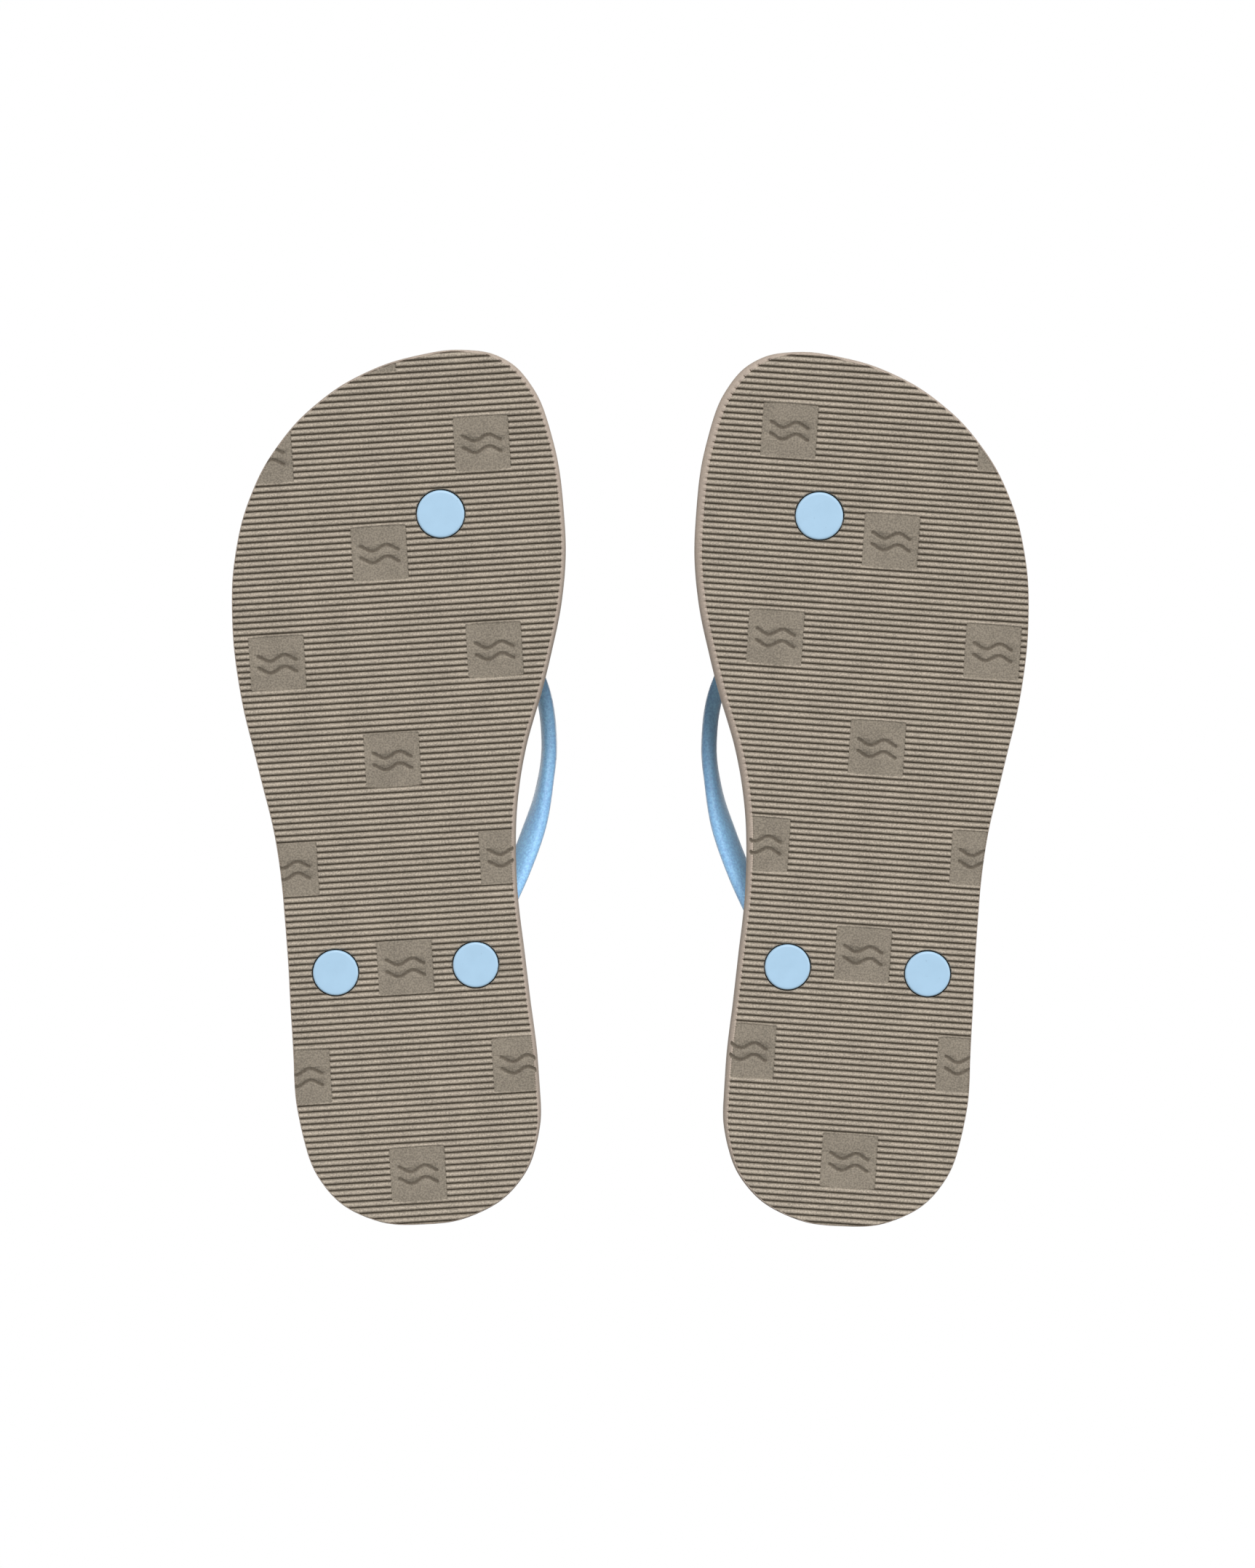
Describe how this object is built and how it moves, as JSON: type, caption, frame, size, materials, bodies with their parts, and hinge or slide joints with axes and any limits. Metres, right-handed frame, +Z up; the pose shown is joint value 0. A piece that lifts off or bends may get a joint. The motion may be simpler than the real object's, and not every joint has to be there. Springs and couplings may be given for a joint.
{
  "type": "flip flop",
  "caption": "Slim thong sandals as a matching right and left shoe: ribbed foam outsole, midsole, footbed, moulded strap with a toe post, and round plugs under the stems.",
  "frame": {"origin": "on the floor, at the middle of the pair's outline", "axes": "+Z up, toes towards -Y, the right shoe on the -X side and the left shoe on the +X side, the way the pair is worn"},
  "size_m": [0.2324, 0.2558, 0.0521],
  "materials": {
    "outsole_foam": "matt taupe foam with fine moulded cross ribs and a speckled grain",
    "sole_foam": "matt cut foam edge, slightly paler than the tread",
    "footbed_foam": "matt foam sheet with a fine embossed grain",
    "strap_moulding": "soft light blue moulding with a fine grain",
    "plug_moulding": "smooth satin light blue moulding with faint scuffs"
  },
  "bodies": {
    "right_shoe": {"right_outsole": "outsole_foam", "right_midsole": "sole_foam", "right_footbed": "footbed_foam", "right_strap": "strap_moulding", "right_toe_plug": "plug_moulding", "right_medial_plug": "plug_moulding", "right_lateral_plug": "plug_moulding"},
    "left_shoe": {"left_outsole": "outsole_foam", "left_midsole": "sole_foam", "left_footbed": "footbed_foam", "left_strap": "strap_moulding", "left_toe_plug": "plug_moulding", "left_medial_plug": "plug_moulding", "left_lateral_plug": "plug_moulding"}
  },
  "joints": [
    {"name": "left_shoe_spacing", "type": "slide", "parent": "right_shoe", "child": "left_shoe", "axis": [1, 0, 0], "range_m": [-0.03, 0.06]}
  ]
}
